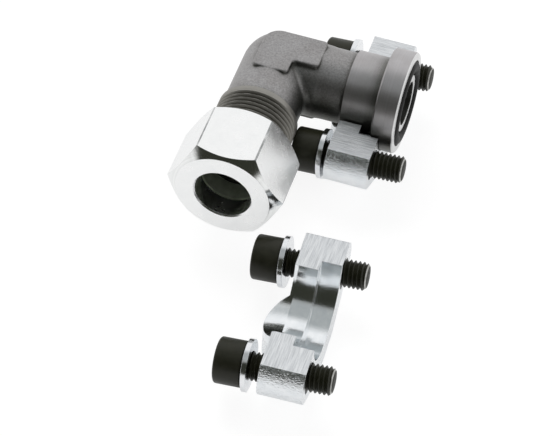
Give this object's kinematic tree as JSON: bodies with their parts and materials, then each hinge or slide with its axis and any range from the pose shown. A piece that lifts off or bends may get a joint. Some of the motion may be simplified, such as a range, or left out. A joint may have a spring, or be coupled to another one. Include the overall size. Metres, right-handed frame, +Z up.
{
  "type": "hydraulic flange elbow",
  "caption": "Forged 90 degree hydraulic elbow with a cutting ring union nut on one arm and a split flange, its halves, screws and spring washers on the other.",
  "frame": {"origin": "centre of the flange face, on the flange port's axis", "axes": "+X out of the flange port along its axis, -Y out of the tube arm, +Z up from the table"},
  "size_m": [0.0645, 0.1346, 0.0374],
  "materials": {
    "phosphated_steel": "matte",
    "zinc_plate": "satin",
    "hardened_steel": "satin",
    "rubber_seal": "matte",
    "plated_steel": "satin",
    "black_oxide": "satin",
    "bright_zinc": "gloss"
  },
  "bodies": {
    "elbow_set": {"elbow_body": "phosphated_steel", "o_ring": "rubber_seal", "flange_half_fitted": "plated_steel", "flange_half_loose": "plated_steel", "cap_screw_1": "black_oxide", "cap_screw_2": "black_oxide", "cap_screw_3": "black_oxide", "cap_screw_4": "black_oxide", "spring_washer_1": "bright_zinc", "spring_washer_2": "bright_zinc", "spring_washer_3": "bright_zinc", "spring_washer_4": "bright_zinc"},
    "ring": {"cutting_ring": "hardened_steel"},
    "nut": {"union_nut": "zinc_plate"}
  },
  "joints": [
    {"name": "ring_slide", "type": "slide", "parent": "elbow_set", "child": "ring", "axis": [0, -1, 0], "range_m": [-0.0002, 0.0034]},
    {"name": "nut_turn", "type": "hinge", "parent": "ring", "child": "nut", "pos_m": [-0.0387, -0.0417, 0], "axis": [0, -1, 0], "range_deg": [0, 720]}
  ],
  "couplings": [
    {"joint": "ring_slide", "follows": "nut_turn", "m_per_rad": 0.00023873}
  ]
}
